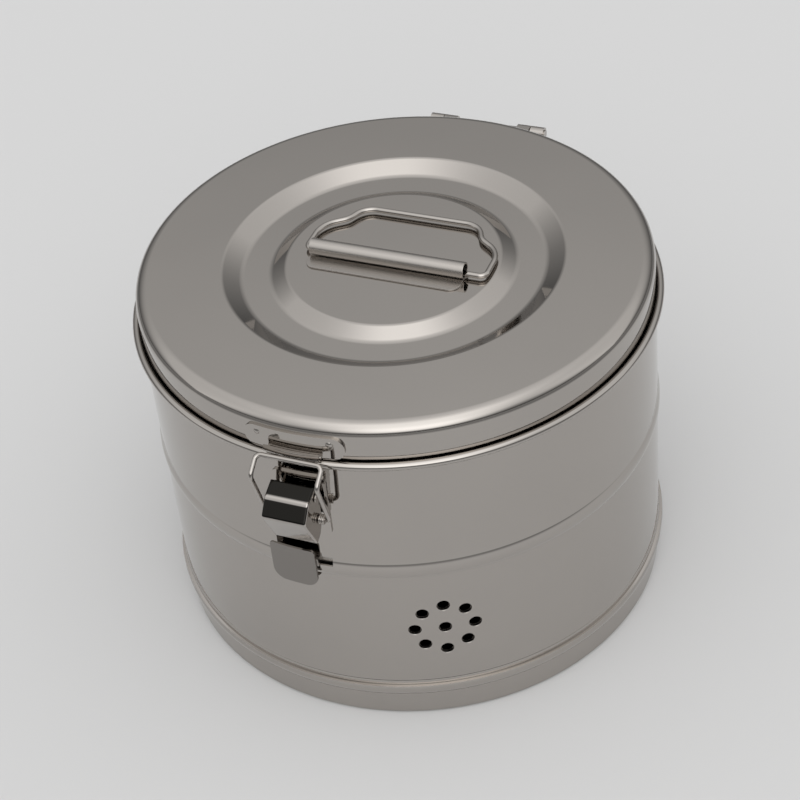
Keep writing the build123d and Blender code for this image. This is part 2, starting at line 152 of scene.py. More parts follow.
class DrumVentSizes(bpy.types.PropertyGroup):
    vent_diameter: length("Vent", 0.006, "Diameter of a vent hole in the wall")
    vent_ring: length("Vent ring", 0.0139, "Radius of the ring of eight vents")
    vent_height: place("Vent height", 0.0566, "Height of the middle vent")
    first_group: turn_angle("First group", 27.5, "Angle of the first group of vents from the latch")
    groups: IntProperty(name="Groups", description="Groups of vents round the wall", default=3, min=1)
    rim_flare: length("Vent rim", 0.0003, "Rounding of a vent's punched rim")
    slot_left: place("Slot left", -0.0019, "Left end of the grip's slot along the wall")
    slot_right: place("Slot right", 0.0105, "Right end of the grip's slot along the wall")
    slot_height: place("Slot height", 0.0985, "Middle of the slot")
    slot_width: length("Slot width", 0.0046, "Height of the slot's opening")
    slot_corner: length("Slot corner", 0.0006, "Radius of the slot's corners")
    grip_inner: length("Grip inner radius", 0.1224, "Inside of the grip's plate")
    grip_sheet: length("Grip sheet", 0.001, "Thickness of the grip's plate")
    grip_along: place("Grip place", -0.00735, "Middle of the grip along the wall")
    grip_height: place("Grip height", 0.095, "Middle of the grip")
    grip_width: length("Grip width", 0.0221, "Width of the grip's plate")
    grip_low_corner: length("Grip's lower corners", 0.006, "Radius of the grip's lower corners")
    grip_top_corner: length("Grip's upper corners", 0.002, "Radius of the grip's upper corners")
    grip_tall: length("Grip tall", 0.022, "Height of the grip's plate")


class DrumLidSizes(bpy.types.PropertyGroup):
    lid_radius: length("Lid radius", 0.11964, "Outside of the lid's skirt")
    skirt_foot: place("Skirt foot", 0.161, "Height of the skirt's lower edge")
    lid_top: place("Lid top", 0.1786, "Height of the flat rim of the lid")
    shoulder: length("Shoulder", 0.0059, "Radius between the flat rim and the skirt")
    disc_radius: length("Disc", 0.0498, "Radius of the flat disc in the middle")
    disc_height: place("Disc height", 0.1776, "Height of the flat disc")
    groove_height: place("Groove height", 0.1734, "Height of the groove's floor")
    groove_inner: length("Groove inside", 0.057, "Inner radius of the groove's floor")
    groove_outer: length("Groove outside", 0.0705, "Outer radius of the groove's floor")
    groove_rim: length("Groove rim", 0.079, "Radius where the groove meets the flat rim")


class DrumFittingSizes(bpy.types.PropertyGroup):
    bracket_half: length("Bracket half", 0.0376, "Half of the handle bracket's length")
    bracket_flange: length("Bracket flange", 0.0115, "Width of the flange in front of the sleeve")
    sleeve_place: place("Sleeve place", -0.0062, "Sleeve's axis in front of the drum's axis")
    sleeve_radius: length("Sleeve", 0.0039, "Outside of the rolled sleeve")
    sleeve_turn: turn_angle("Sleeve turn", 315, "How far the sleeve is rolled")
    handle_wire: length("Handle wire", 0.0026, "Diameter of the handle's wire")
    handle_height: place("Handle height", 0.1798, "Height of the folded handle's wire")
    handle_shift: place("Handle shift", 0.0032, "How far the handle lies slid to one side")
    keeper_half: length("Keeper half", 0.0233, "Half of the keeper plate's length")
    keeper_sheet: length("Keeper sheet", 0.0012, "Thickness of the keeper")
    keeper_foot: place("Keeper foot", 0.1611, "Height of the keeper's lower edge")
    keeper_top: place("Keeper top", 0.1729, "Height of the keeper's upper edge")
    hook_half: length("Hook half", 0.013, "Half of the hook's length")
    hook_radius: length("Hook radius", 0.1241, "Outside of the hook's lip from the drum's axis")
    hook_top: place("Hook top", 0.1652, "Height of the hook's lip")
    pivot_radius: length("Pivot radius", 0.1265, "Lever's pivot from the drum's axis")
    pivot_height: place("Pivot height", 0.1438, "Height of the lever's pivot")
    pin_radius: length("Pin", 0.0012, "Radius of the lever's pin")
    lever_half: length("Lever half", 0.0103, "Half of the lever's width")
    lever_sheet: length("Lever sheet", 0.0012, "Thickness of the lever")
    lever_bend: length("Lever bend", 0.0022, "Radius of the bends across the lever")
    # height of the bend line where the painted shade on the lever's upper faces is left off, so that it stays
    # bright
    lever_unshaded_bend: length("Unshaded bend", 0.0019, "Height of the lever's unshaded bend over its pivot")
    lever_fold: length("Lever fold", 0.001, "Radius of the folds along the lever")
    bail_wire: length("Bail wire", 0.0022, "Diameter of the latch bail's wire")
    bail_half: length("Bail half", 0.0153, "Half of the bail's width")
    running_fit: length("Fit", 0.00005, "Clearance round the pins")


class DrumFinish(bpy.types.PropertyGroup):
    steel: colour("Steel", (0.43, 0.405, 0.38), "Polished stainless steel")
    steel_dull: colour("Dull steel", (0.36, 0.34, 0.32), "Satin steel inside the drum")
    steel_dark: colour("Dark steel", (0.25, 0.235, 0.22), "Steel of the shutter's grip")
    # painted shade: the near-black base colour put on the lever's upper faces
    roof_shade_colour: colour("Painted roof shade", (0.022, 0.021, 0.019), "Painted roof shade on the lever's upper faces")
    polish: share("Polish", 0.03, "Roughness of the polished sheet")
    satin: share("Satin", 0.24, "Roughness of the satin sheet")
    grain: amount("Grain", 1100.0, "Lines of polish to the metre")
    grain_depth: share("Grain depth", 0.012, "How strongly the polish lines bend the light")
    smudge: share("Smudges", 0.035, "How much the roughness changes over the sheet")


class DrumStudio(bpy.types.PropertyGroup):
    floor: colour("Floor", (0.62, 0.62, 0.62), "Pale floor round the drum")
    # painted fall-off of the studio light: the floor is dark away from the drum, and the steel reflects that
    # dark part
    floor_far_shade: colour("Far floor", (0.22, 0.22, 0.22), "Floor away from the drum")
    dome: amount("Dome", 1.0, "Brightness of the whole studio")
    lens: amount("Lens", 92.8, "Focal length on a sensor 36 mm wide")


# ---------------------------------------------------------------- drawing with vertices
def pen(start):
    bm = bmesh.new()
    return bm, bm.verts.new(start)


def run(bm, tip, to):
    """Straight run of a drawn line."""
    new = bmesh.ops.extrude_vert_indiv(bm, verts=[tip])["verts"][0]
    bmesh.ops.translate(bm, verts=[new], vec=Vector(to) - tip.co)
    return new


def swing(bm, tip, centre, axis, angle, steps):
    """Arc of a drawn line."""
    out = bmesh.ops.spin(bm, geom=[tip], cent=centre, axis=axis, angle=angle, steps=steps,
                         use_duplicate=False)
    return out["geom_last"][0]


def bend_at(a, b, c, radius):
    """Where a bend at b starts, and its centre, axis and angle."""
    u, v = (b - a).normalized(), (c - b).normalized()
    angle = u.angle(v)
    axis = u.cross(v).normalized()
    start = b - u * radius * tan(angle / 2)
    return start, start + axis.cross(u) * radius, axis, angle


def rounded_line(bm, tip, points, radii, step=radians(9)):
    """Runs from the tip through the points, with a bend of each radius at all but the last."""
    line = [tip.co.copy()] + [Vector(p) for p in points]
    for a, b, c, radius in zip(line, line[1:], line[2:], radii):
        if radius:
            start, centre, axis, angle = bend_at(a, b, c, radius)
            tip = run(bm, tip, start)
            tip = swing(bm, tip, centre, axis, angle, max(2, round(angle / step)))
        else:
            tip = run(bm, tip, b)
    return run(bm, tip, line[-1])


def rz(radius, height):
    """Point of a section through the drum's axis."""
    return Vector((radius, 0, height))


def arc(bm, tip, middle, end, steps):
    """Arc of a drawn line through a middle point to an end."""
    a, b = middle - tip.co, end - tip.co
    across = a.cross(b)
    offset = (a.length_squared * b - b.length_squared * a).cross(across) / (2 * across.length_squared)
    centre = tip.co + offset
    turn = (tip.co - centre).angle(end - centre)
    return swing(bm, tip, centre, across.normalized(), turn, steps)


def bow(bm, tip, height, stand):
    """Bead: an arc that stands out of the wall."""
    return arc(bm, tip, tip.co + Vector((stand, 0, height / 2)), tip.co + Vector((0, 0, height)), 12)


def spun(bm, steps):
    """Turns a drawn section about the drum's axis."""
    bmesh.ops.spin(bm, geom=bm.verts[:] + bm.edges[:], cent=(0, 0, 0), axis=UP, angle=2 * pi,
                   steps=steps, use_merge=True)
    bmesh.ops.remove_doubles(bm, verts=bm.verts, dist=SAME_POINT)


def thicken(bm, sheet):
    """Gives an open sheet its thickness, inwards."""
    bmesh.ops.solidify(bm, geom=bm.faces[:], thickness=sheet)


def soften(bm, width, segments=2, sharper=50):
    """Rounds every edge that is sharper than an angle."""
    edges = [e for e in bm.edges if len(e.link_faces) == 2 and e.calc_face_angle() > radians(sharper)]
    bmesh.ops.bevel(bm, geom=edges, offset=width, offset_type="OFFSET", affect="EDGES",
                    segments=segments, profile=0.5, material=-1, clamp_overlap=True)


def prism(points, radii, push):
    """Solid of a closed outline with rounded corners, pushed along a vector."""
    points = [Vector(p) for p in points]
    start = (points[0] + points[-1]) / 2
    bm, tip = pen(start)
    rounded_line(bm, tip, points + [start], radii)
    bmesh.ops.remove_doubles(bm, verts=bm.verts, dist=SAME_POINT)
    face = bmesh.ops.contextual_create(bm, geom=bm.edges[:])["faces"]
    new = bmesh.ops.extrude_face_region(bm, geom=face)["geom"]
    bmesh.ops.translate(bm, verts=[v for v in new if isinstance(v, bmesh.types.BMVert)], vec=push)
    bmesh.ops.recalc_face_normals(bm, faces=bm.faces)
    return bm


def sector(bm, centre_angle, half_angle, steps):
    """Turns a drawn section through part of a circle; the angle is counted from the latch."""
    bmesh.ops.rotate(bm, verts=bm.verts, cent=(0, 0, 0),
                     matrix=Matrix.Rotation(centre_angle - half_angle - pi / 2, 3, "Z"))
    bmesh.ops.spin(bm, geom=bm.verts[:] + bm.edges[:] + bm.faces[:], cent=(0, 0, 0), axis=UP,
                   angle=2 * half_angle, steps=steps)


def loose(bm, name):
    """Unlinked object of a bmesh, for cutting."""
    mesh = bpy.data.meshes.new(name)
    bm.to_mesh(mesh)
    bm.free()
    return bpy.data.objects.new(name, mesh)


def combined(bm, cutters, how):
    """Exact cut, union or intersection with each cutter; returns the new bmesh."""
    base = loose(bm, "base")
    bpy.context.scene.collection.objects.link(base)
    tools = []
    for cutter in cutters:
        tool = loose(cutter, "cutter")
        bpy.context.scene.collection.objects.link(tool)
        tools.append(tool)
        mod = base.modifiers.new("cut", "BOOLEAN")
        mod.operation, mod.object, mod.solver = how, tool, "EXACT"
    graph = bpy.context.evaluated_depsgraph_get()
    mesh = bpy.data.meshes.new_from_object(base.evaluated_get(graph), depsgraph=graph)
    new = bmesh.new()
    new.from_mesh(mesh)
    for thing in [base, *tools]:
        bpy.data.meshes.remove(thing.data)
    bpy.data.meshes.remove(mesh)
    bmesh.ops.remove_doubles(new, verts=new.verts, dist=SAME_POINT)
    if any(len(e.link_faces) != 2 for e in new.edges):
        raise RuntimeError("a cut left the mesh open")
    return new


def bent_plate(outline, half_angle, centre_angle, inner, outer, low, high):
    """Plate of an outline, bent round the drum."""
    bm, tip = pen(rz(inner, low))
    for corner in (rz(outer, low), rz(outer, high), rz(inner, high), rz(inner, low)):
        tip = run(bm, tip, corner)
    bmesh.ops.remove_doubles(bm, verts=bm.verts, dist=SAME_POINT)
    bmesh.ops.contextual_create(bm, geom=bm.edges[:])
    sector(bm, centre_angle, half_angle, 40)
    bmesh.ops.recalc_face_normals(bm, faces=bm.faces)
    return combined(bm, [outline], "INTERSECT")


def bent_wire(corners, radii, diameter, sides=28):
    """Round wire along straight runs and bends."""
    points = [Vector(p) for p in corners]
    way = (points[1] - points[0]).normalized()
    bm = bmesh.new()
    where = Matrix.Translation(points[0]) @ way.to_track_quat("Z", "Y").to_matrix().to_4x4()
    bmesh.ops.create_circle(bm, cap_ends=False, radius=diameter / 2, segments=sides, matrix=where)
    rim, at = bm.edges[:], points[0]

    def pushed(rim, vec):
        new = bmesh.ops.extrude_edge_only(bm, edges=rim)["geom"]
        bmesh.ops.translate(bm, verts=[g for g in new if isinstance(g, bmesh.types.BMVert)], vec=vec)
        return [g for g in new if isinstance(g, bmesh.types.BMEdge)]

    for a, b, c, radius in zip(points, points[1:], points[2:], radii):
        start, centre, axis, angle = bend_at(a, b, c, radius)
        rim = pushed(rim, start - at)
        out = bmesh.ops.spin(bm, geom=rim, cent=centre, axis=axis, angle=angle,
                             steps=max(4, round(angle / radians(6))))
        rim = [g for g in out["geom_last"] if isinstance(g, bmesh.types.BMEdge)]
        at = Matrix.Rotation(angle, 3, axis) @ (start - centre) + centre
    pushed(rim, points[-1] - at)
    bmesh.ops.remove_doubles(bm, verts=bm.verts, dist=SAME_POINT)
    bmesh.ops.holes_fill(bm, edges=[e for e in bm.edges if len(e.link_faces) == 1], sides=0)
    bmesh.ops.recalc_face_normals(bm, faces=bm.faces)
    soften(bm, diameter * 0.12)
    return bm


def finished(bm, name, body, nodes, material, sharp=40):
    """Makes the piece: shading, finish, the body that it rides on and the nodes it stands for."""
    mesh = bpy.data.meshes.new(name)
    bm.to_mesh(mesh)
    bm.free()
    mesh.shade_smooth()
    mesh.set_sharp_from_angle(angle=radians(sharp))
    mesh.materials.append(material)
    piece = bpy.data.objects.new(name, mesh)
    bpy.context.scene.collection.objects.link(piece)
    even = piece.modifiers.new("even shading", "WEIGHTED_NORMAL")
    even.mode, even.weight, even.keep_sharp = "FACE_AREA", 80, True
    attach(piece, body)
    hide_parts(*nodes)
    return piece


# ---------------------------------------------------------------- finishes
def node(tree, kind, inputs=None, **settings):
    new = tree.nodes.new("ShaderNode" + kind)
    for key, value in settings.items():
        setattr(new, key, value)
    for key, value in (inputs or {}).items():
        socket = new.inputs[key]
        if isinstance(value, bpy.types.NodeSocket):
            tree.links.new(value, socket)
        else:
            socket.default_value = value
    return new


def polish_lines(tree, lines, turned):
    """Vector whose noise makes fine lines: rings on spun pieces, straight lines on plates."""
    where = node(tree, "TexCoord").outputs["Object"]
    if not turned:
        return node(tree, "Mapping", {"Vector": where, "Scale": (lines * 0.04, lines, lines)}).outputs[0]
    split = node(tree, "SeparateXYZ", {0: where})
    flat = node(tree, "CombineXYZ", {0: split.outputs[0], 1: split.outputs[1]})
    radius = node(tree, "VectorMath", {0: flat.outputs[0]}, operation="LENGTH").outputs["Value"]
    way = node(tree, "VectorMath", {0: flat.outputs[0]}, operation="NORMALIZE").outputs[0]
    slow = node(tree, "VectorMath", {0: way, "Scale": 3.0}, operation="SCALE").outputs[0]
    ways = node(tree, "SeparateXYZ", {0: slow})
    climb = node(tree, "Math", {0: radius, 1: split.outputs[2]}, operation="ADD").outputs[0]
    ring = node(tree, "Math", {0: climb, 1: lines}, operation="MULTIPLY").outputs[0]
    return node(tree, "CombineXYZ", {0: ring, 1: ways.outputs[0], 2: ways.outputs[1]}).outputs[0]


# scales of the noises, to the metre
CLOUDS = 14.0
SMEARS = 55.0
WAVES = 22.0
# how much darker and lighter than its tint the steel gets
TINT_LOW = 0.96
TINT_HIGH = (1.04, 1.035, 1.03)
FINE_LINES = (-0.008, 0.012)    # how much the polish lines change the roughness


def steel(name, tint, roughness, turned=False):
    """Polished steel: fine lines, smears and faint clouds."""
    look = bpy.context.scene.drum_finish
    mat = bpy.data.materials.new(name)
    mat.use_nodes = True
    tree = mat.node_tree
    shader = tree.nodes["Principled BSDF"]
    shader.inputs["Metallic"].default_value = 1.0
    where = node(tree, "TexCoord").outputs["Object"]
    lines = node(tree, "TexNoise", {"Vector": polish_lines(tree, look.grain, turned), "Scale": 1.0,
                                    "Detail": 3.0, "Roughness": 0.6}).outputs[0]
    cloud = node(tree, "TexNoise", {"Vector": where, "Scale": CLOUDS, "Detail": 2.0}).outputs[0]
    smear = node(tree, "TexNoise", {"Vector": where, "Scale": SMEARS, "Detail": 5.0,
                                    "Roughness": 0.65, "Distortion": 0.6}).outputs[0]
    low = [c * TINT_LOW for c in tint]
    high = [min(1, c * t) for c, t in zip(tint, TINT_HIGH)]
    mixed = node(tree, "Mix", data_type="RGBA")
    tree.links.new(cloud, mixed.inputs[0])
    mixed.inputs[6].default_value = (*low, 1)
    mixed.inputs[7].default_value = (*high, 1)
    tree.links.new(mixed.outputs[2], shader.inputs["Base Color"])
    rough = node(tree, "MapRange", {"Value": smear, "From Min": 0.35, "From Max": 0.75,
                                    "To Min": roughness, "To Max": roughness + look.smudge})
    fine = node(tree, "MapRange", {"Value": lines, "From Min": 0.3, "From Max": 0.7,
                                   "To Min": FINE_LINES[0], "To Max": FINE_LINES[1]})
    both = node(tree, "Math", {0: rough.outputs[0], 1: fine.outputs[0]}, operation="ADD")
    tree.links.new(both.outputs[0], shader.inputs["Roughness"])
    waves = node(tree, "TexNoise", {"Vector": where, "Scale": WAVES, "Detail": 1.0}).outputs[0]
    sheet = node(tree, "Bump", {"Strength": 0.05, "Distance": 0.001, "Height": waves})
    grain = node(tree, "Bump", {"Strength": look.grain_depth, "Distance": 0.0001, "Height": lines,
                                "Normal": sheet.outputs[0]})
    tree.links.new(grain.outputs[0], shader.inputs["Normal"])
    return mat


ROOF_LOOK = 0.3                 # a face that looks up more than this is one of the lever's upper faces, which get painted shade
SHADE_EDGES = (0.0005, 0.0008)   # distances from the bend line, which is left out of the painted shade, to where the painted shade starts and where it is full


def painted_roof_shade(mat, roof_shade_colour, f):
    """Paints shade on the lever's upper faces as a near-black base colour, left off along the bend between
    them so that the bend stays bright.
    """
    tree = mat.node_tree
    shader = tree.nodes["Principled BSDF"]
    coords = node(tree, "TexCoord")
    faces_up = node(tree, "SeparateXYZ", {0: coords.outputs["Normal"]}).outputs[2]
    height = node(tree, "SeparateXYZ", {0: coords.outputs["Object"]}).outputs[2]
    roof = node(tree, "Math", {0: faces_up, 1: ROOF_LOOK}, operation="GREATER_THAN").outputs[0]
    off = node(tree, "Math", {0: height, 1: f.pivot_height + f.lever_unshaded_bend}, operation="SUBTRACT").outputs[0]
    off = node(tree, "Math", {0: off}, operation="ABSOLUTE").outputs[0]
    off_bend = node(tree, "MapRange", {"Value": off, "From Min": SHADE_EDGES[0],
                                   "From Max": SHADE_EDGES[1]}).outputs[0]
    roof_shade_mask = node(tree, "Math", {0: roof, 1: off_bend}, operation="MULTIPLY").outputs[0]
    plain = shader.inputs["Base Color"].links[0].from_socket
    mixed = node(tree, "Mix", data_type="RGBA")
    tree.links.new(roof_shade_mask, mixed.inputs[0])
    tree.links.new(plain, mixed.inputs[6])
    mixed.inputs[7].default_value = (*roof_shade_colour, 1)
    tree.links.new(mixed.outputs[2], shader.inputs["Base Color"])
    return mat


# ---------------------------------------------------------------- operators
class DRUM_OT_shell(bpy.types.Operator):
    """Spin the wall with its beads and rolled edge, and punch the vents and the slot"""
    bl_idname = "drum.shell"
    bl_label = "Wall"

    def execute(self, context):
        s, v = context.scene.drum_body, context.scene.drum_vents
        bm, tip = pen(rz(s.wall_radius, s.wall_foot))
        tip = arc(bm, tip, rz(s.wall_radius + s.bead_stand, s.wall_foot + s.bead_crest),
                  rz(s.wall_radius + s.ledge_out, s.wall_foot + s.ledge_up), 16)
        tip = run(bm, tip, rz(s.wall_radius, s.small_bead_foot))
        tip = bow(bm, tip, s.small_bead_height, s.small_bead_stand)
        tip = run(bm, tip, rz(s.wall_radius, s.middle_bead_foot))
        tip = bow(bm, tip, s.middle_bead_height, s.middle_bead_stand)
        tip = run(bm, tip, rz(s.wall_radius, s.step_at))
        top_radius = s.wall_radius + s.step_out
        tip = run(bm, tip, rz(top_radius, s.step_at + s.step_rise))
        wall_top = cad_top("drum_wall")
        tip = run(bm, tip, rz(top_radius, wall_top - s.roll_radius))
        hollow = s.roll_radius - s.sheet
        swing(bm, tip, rz(top_radius + hollow, wall_top - s.roll_radius), (0, 1, 0), s.roll_turn, 30)
        spun(bm, s.steps)
        outside_out(bm)
        thicken(bm, s.sheet)
        soften(bm, s.sheet * EDGE, sharper=80)
        bmesh.ops.remove_doubles(bm, verts=bm.verts, dist=2e-6)
        cutters = [vent_cutter(s, v, a, z) for a, z in vent_places(s, v)]
        cutters.append(slot_cutter(s, v))
        joined = bmesh.new()
        for cutter in cutters:
            mesh = bpy.data.meshes.new("cutter")
            cutter.to_mesh(mesh)
            cutter.free()
            joined.from_mesh(mesh)
            bpy.data.meshes.remove(mesh)
        bm = combined(bm, [joined], "DIFFERENCE")
        finished(bm, "wall_shell", "drum", ["drum_wall"],
                 steel("wall steel", context.scene.drum_finish.steel, context.scene.drum_finish.polish, True))
        return {"FINISHED"}


def cad_top(name):
    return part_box(name)[1][2]


def vent_places(s, v):
    """Angle from the latch and height of every vent."""
    for group in range(v.groups):
        middle = v.first_group + group * 2 * pi / v.groups
        yield middle, v.vent_height
        for k in range(8):
            hand = Matrix.Rotation(k * pi / 4, 2) @ Vector((v.vent_ring, 0))
            yield middle + hand.x / s.wall_radius, v.vent_height + hand.y


def vent_cutter(s, v, angle, height):
    """Punch with a flared rim, laid across the wall at an angle from the latch."""
    reach = v.vent_diameter / 2
    bm, tip = pen((reach, 0, s.wall_radius - PAST))
    tip = run(bm, tip, (reach, 0, s.wall_radius - v.rim_flare))
    tip = swing(bm, tip, (reach + v.rim_flare, 0, s.wall_radius - v.rim_flare), (0, 1, 0), radians(75), 3)
    tip = run(bm, tip, tip.co + Vector((0.001, 0, 0.0003)))
    run(bm, tip, tip.co + Vector((0, 0, PAST)))
    bmesh.ops.spin(bm, geom=bm.verts[:] + bm.edges[:], cent=(0, 0, 0), axis=UP, angle=2 * pi,
                   steps=32, use_merge=True)
    bmesh.ops.remove_doubles(bm, verts=bm.verts, dist=SAME_POINT)
    bmesh.ops.holes_fill(bm, edges=[e for e in bm.edges if len(e.link_faces) == 1], sides=0)
    bmesh.ops.recalc_face_normals(bm, faces=bm.faces)
    lay = Matrix.Rotation(angle, 4, "Z") @ Matrix.Translation((0, 0, height))
    lay = lay @ Matrix.Rotation(pi / 2, 4, "X")
    bmesh.ops.transform(bm, matrix=lay, verts=bm.verts)
    return bm


def slot_cutter(s, v):
    low, high = v.slot_height - v.slot_width / 2, v.slot_height + v.slot_width / 2
    front = -s.wall_radius - PAST
    corners = [(v.slot_left, front, low), (v.slot_right, front, low),
               (v.slot_right, front, high), (v.slot_left, front, high)]
    return prism(corners, [v.slot_corner] * 4, (0, 2 * PAST, 0))


class DRUM_OT_foot(bpy.types.Operator):
    """Spin the foot band, the bottom pan and the neck"""
    bl_idname = "drum.foot"
    bl_label = "Foot, pan and neck"

    def execute(self, context):
        s, look = context.scene.drum_body, context.scene.drum_finish
        inner = s.wall_radius - s.sheet
        foot = s.wall_radius - s.foot_inset
        bm, tip = pen(rz(foot - s.foot_flange, 0))
        joggle_foot, joggle_top = (s.wall_foot + rise for rise in JOGGLE)
        corners = [rz(foot, 0), rz(foot, joggle_foot), rz(inner, joggle_top), rz(inner, s.foot_top)]
        rounded_line(bm, tip, corners, (FOOT_BEND, JOGGLE_BEND, JOGGLE_BEND))
        self.make(bm, s, "foot_band", "foot_steel", "base_ring",
                  steel("foot steel", look.steel, look.polish, True))
        bm, tip = pen(rz(0, s.pan_height))
        side = inner - s.sheet
        rounded_line(bm, tip, [rz(side, s.pan_height), rz(side, s.pan_rim)], (PAN_BEND,))
        self.make(bm, s, "pan", "pan_steel", "bottom_pan",
                  steel("pan steel", look.steel_dull, look.satin, True))
        bm, tip = pen(rz(inner, s.neck_foot))
        rounded_line(bm, tip, [rz(inner, s.step_at), rz(s.neck_radius, s.step_at + NECK_SLOPE),
                               rz(s.neck_radius, s.neck_top)], (NECK_BEND, NECK_BEND))
        self.make(bm, s, "neck", "neck_steel", "neck_collar",
                  steel("neck steel", look.steel_dull, look.satin, True))
        return {"FINISHED"}

    def make(self, bm, s, name, slot, cad_name, finish):
        spun(bm, s.steps)
        outside_out(bm)
        thicken(bm, s.sheet)
        soften(bm, s.sheet * EDGE, sharper=60)
        finished(bm, name, "drum", [cad_name], finish)


def outside_out(bm):
    """Makes the widest upright faces of a spun sheet look away from the drum's axis."""
    bmesh.ops.recalc_face_normals(bm, faces=bm.faces)

    def lean(face):
        middle = face.calc_center_median()
        return face.normal.dot(Vector((middle.x, middle.y, 0)).normalized()) * face.calc_area()

    if sum(lean(f) for f in bm.faces) < 0:
        bmesh.ops.reverse_faces(bm, faces=bm.faces)


class DRUM_OT_lid(bpy.types.Operator):
    """Spin the pressed lid with its groove and flat disc"""
    bl_idname = "drum.lid"
    bl_label = "Lid"

    def execute(self, context):
        s, lid, look = context.scene.drum_body, context.scene.drum_lid, context.scene.drum_finish
        bm, tip = pen(rz(0, lid.disc_height))
        rounded_line(bm, tip, [rz(lid.disc_radius, lid.disc_height), rz(lid.groove_inner, lid.groove_height),
                               rz(lid.groove_outer, lid.groove_height), rz(lid.groove_rim, lid.lid_top),
                               rz(lid.lid_radius, lid.lid_top), rz(lid.lid_radius, lid.skirt_foot)],
                     (DISC_BEND, GROOVE_BEND, GROOVE_BEND, GROOVE_RIM_BEND, lid.shoulder), radians(5))
        spun(bm, s.steps)
        outside_out(bm)
        thicken(bm, s.sheet)
        soften(bm, s.sheet * EDGE, sharper=60)
        finished(bm, "lid_pressing", "lid", ["lid_shell"],
                 steel("lid steel", look.steel, look.polish, True))
        return {"FINISHED"}


class DRUM_OT_handle(bpy.types.Operator):
    """Roll the handle's bracket and bend its wire"""
    bl_idname = "drum.handle"
    bl_label = "Handle"

    def execute(self, context):
        s, f, lid = context.scene.drum_body, context.scene.drum_fittings, context.scene.drum_lid
        look = context.scene.drum_finish
        floor = lid.disc_height
        bm, tip = pen((-f.bracket_half, f.sleeve_place - f.bracket_flange, floor))
        tip = run(bm, tip, (-f.bracket_half, f.sleeve_place, floor))
        swing(bm, tip, (-f.bracket_half, f.sleeve_place, floor + f.sleeve_radius), ALONG_X, f.sleeve_turn, 40)
        new = bmesh.ops.extrude_edge_only(bm, edges=bm.edges[:])["geom"]
        bmesh.ops.translate(bm, verts=[g for g in new if isinstance(g, bmesh.types.BMVert)],
                            vec=(2 * f.bracket_half, 0, 0))
        front = [v for v in bm.verts if v.co.y < f.sleeve_place - f.bracket_flange + 1e-6]
        bmesh.ops.bevel(bm, geom=front, offset=0.005, offset_type="OFFSET", affect="VERTICES",
                        segments=8, profile=0.5, material=-1)
        bmesh.ops.recalc_face_normals(bm, faces=bm.faces)
        flange = min(bm.faces, key=lambda face: face.calc_center_median().y)
        if flange.normal.z > 0:
            bmesh.ops.reverse_faces(bm, faces=bm.faces)
        thicken(bm, s.sheet)
        soften(bm, s.sheet * 0.3, sharper=60)
        finished(bm, "bracket", "lid", ["handle_bracket"],
                 steel("bracket steel", look.steel, look.satin))
        path = HANDLE_HALF + [(-u, v) for u, v in reversed(HANDLE_HALF)]
        corners = [(u + f.handle_shift, v + f.sleeve_place, f.handle_height) for u, v in path]
        wire = bent_wire(corners, HANDLE_BENDS + HANDLE_BENDS[::-1], f.handle_wire)
        finished(wire, "handle_bail", "handle", ["handle_wire"],
                 steel("wire steel", look.steel, look.polish))
        return {"FINISHED"}


class DRUM_OT_keeper(bpy.types.Operator):
    """Bend the keeper plate round the lid's skirt and fold its hook"""
    bl_idname = "drum.keeper"
    bl_label = "Keeper"

    def execute(self, context):
        f, lid, look = context.scene.drum_fittings, context.scene.drum_lid, context.scene.drum_finish
        low, high, half = f.keeper_foot, f.keeper_top, f.keeper_half
        ends = (high - low) / 2 - 0.0001
        front = -lid.lid_radius - PAST
        outline = prism([(-half, front, low), (half, front, low), (half, front, high), (-half, front, high)],
                        [ends] * 4, (0, 2 * PAST, 0))
        outer = lid.lid_radius + f.keeper_sheet
        plate = bent_plate(outline, 1.25 * half / outer, 0, lid.lid_radius, outer, low - SPARE, high + SPARE)
        roll = (f.hook_radius - lid.lid_radius) / 2
        bm, tip = pen(rz(lid.lid_radius, low + roll + SPARE))
        tip = run(bm, tip, rz(lid.lid_radius, low + roll))
        tip = swing(bm, tip, rz(lid.lid_radius + roll, low + roll), (0, -1, 0), pi, 20)
        run(bm, tip, rz(f.hook_radius, f.hook_top))
        sector(bm, 0, f.hook_half / f.hook_radius, 25)
        bmesh.ops.recalc_face_normals(bm, faces=bm.faces)
        lip = max(bm.faces, key=lambda face: -face.calc_center_median().y)
        if lip.normal.y > 0:
            bmesh.ops.reverse_faces(bm, faces=bm.faces)
        thicken(bm, f.keeper_sheet)
        bm = combined(plate, [bm], "UNION")
        soften(bm, 0.00022, sharper=60)
        finished(bm, "keeper", "lid", ["keeper_plate"],
                 steel("keeper steel", look.steel, look.polish))
        return {"FINISHED"}


